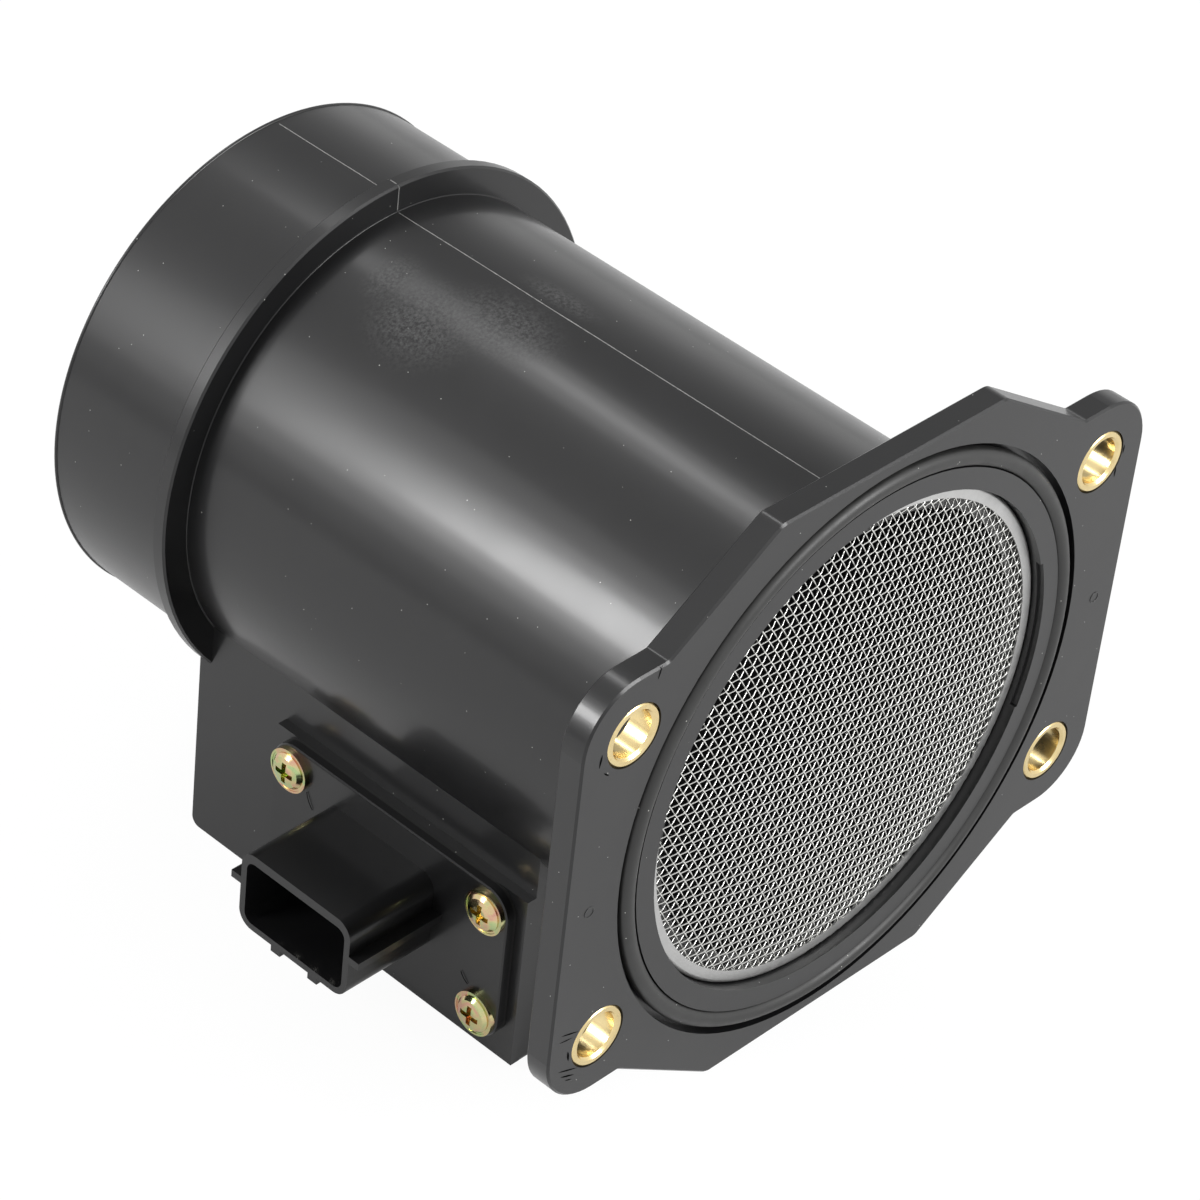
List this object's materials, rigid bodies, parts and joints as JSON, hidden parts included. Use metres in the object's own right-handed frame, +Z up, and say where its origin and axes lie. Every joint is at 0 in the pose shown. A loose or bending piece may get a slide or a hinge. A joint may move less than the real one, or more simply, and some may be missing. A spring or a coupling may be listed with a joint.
{
  "type": "mass airflow sensor",
  "caption": "Black moulded air duct with a square bolted inlet flange, a wire screen over the mouth, a hose spigot behind a collar and a screwed-on sensor module with a plug socket",
  "frame": {"origin": "centre of the four flange bolts, on the flange's sealing face", "axes": "+Y is the way the air flows, from the flange to the hose spigot; -X is the module's side; +Z is up, away from the sensor box's flat bottom"},
  "size_m": [0.108, 0.115, 0.1035],
  "materials": {
    "moulded_nylon": "satin-gloss black glass-filled nylon",
    "moulded_cover": "satin black moulded polyester",
    "seal_rubber": "smooth black rubber",
    "gasket_rubber": "dull black sealing strip",
    "rolled_aluminium": "dull rolled aluminium",
    "plate_aluminium": "milled aluminium",
    "stainless_wire": "bright stainless wire",
    "bushing_brass": "turned brass",
    "yellow_zinc": "iridescent yellow zinc plating on steel",
    "pin_steel": "nickel-plated steel",
    "tinned_terminal": "tinned copper alloy",
    "board_ceramic": "white ceramic board",
    "chip_resin": "black moulding resin",
    "sensing_film": "glass-coated sensing element"
  },
  "bodies": {
    "root": {"base_plate": "plate_aluminium", "bolt_bushing_1": "bushing_brass", "bolt_bushing_2": "bushing_brass", "bolt_bushing_3": "bushing_brass", "bolt_bushing_4": "bushing_brass", "circuit_board": "board_ceramic", "cold_wire": "sensing_film", "control_chip": "chip_resin", "flange_o_ring": "seal_rubber", "hot_wire": "sensing_film", "housing": "moulded_nylon", "module_cover": "moulded_cover", "module_gasket": "gasket_rubber", "module_screw_1": "yellow_zinc", "module_screw_2": "yellow_zinc", "module_screw_3": "yellow_zinc", "module_screw_4": "yellow_zinc", "power_transistor": "chip_resin", "screen_ring": "rolled_aluminium", "sensor_holder": "moulded_cover", "sensor_pin_1": "pin_steel", "sensor_pin_2": "pin_steel", "sensor_pin_3": "pin_steel", "sensor_pin_4": "pin_steel", "terminal_1": "tinned_terminal", "terminal_2": "tinned_terminal", "terminal_3": "tinned_terminal", "terminal_4": "tinned_terminal", "terminal_5": "tinned_terminal", "wire_screen": "stainless_wire"}
  },
  "joints": []
}
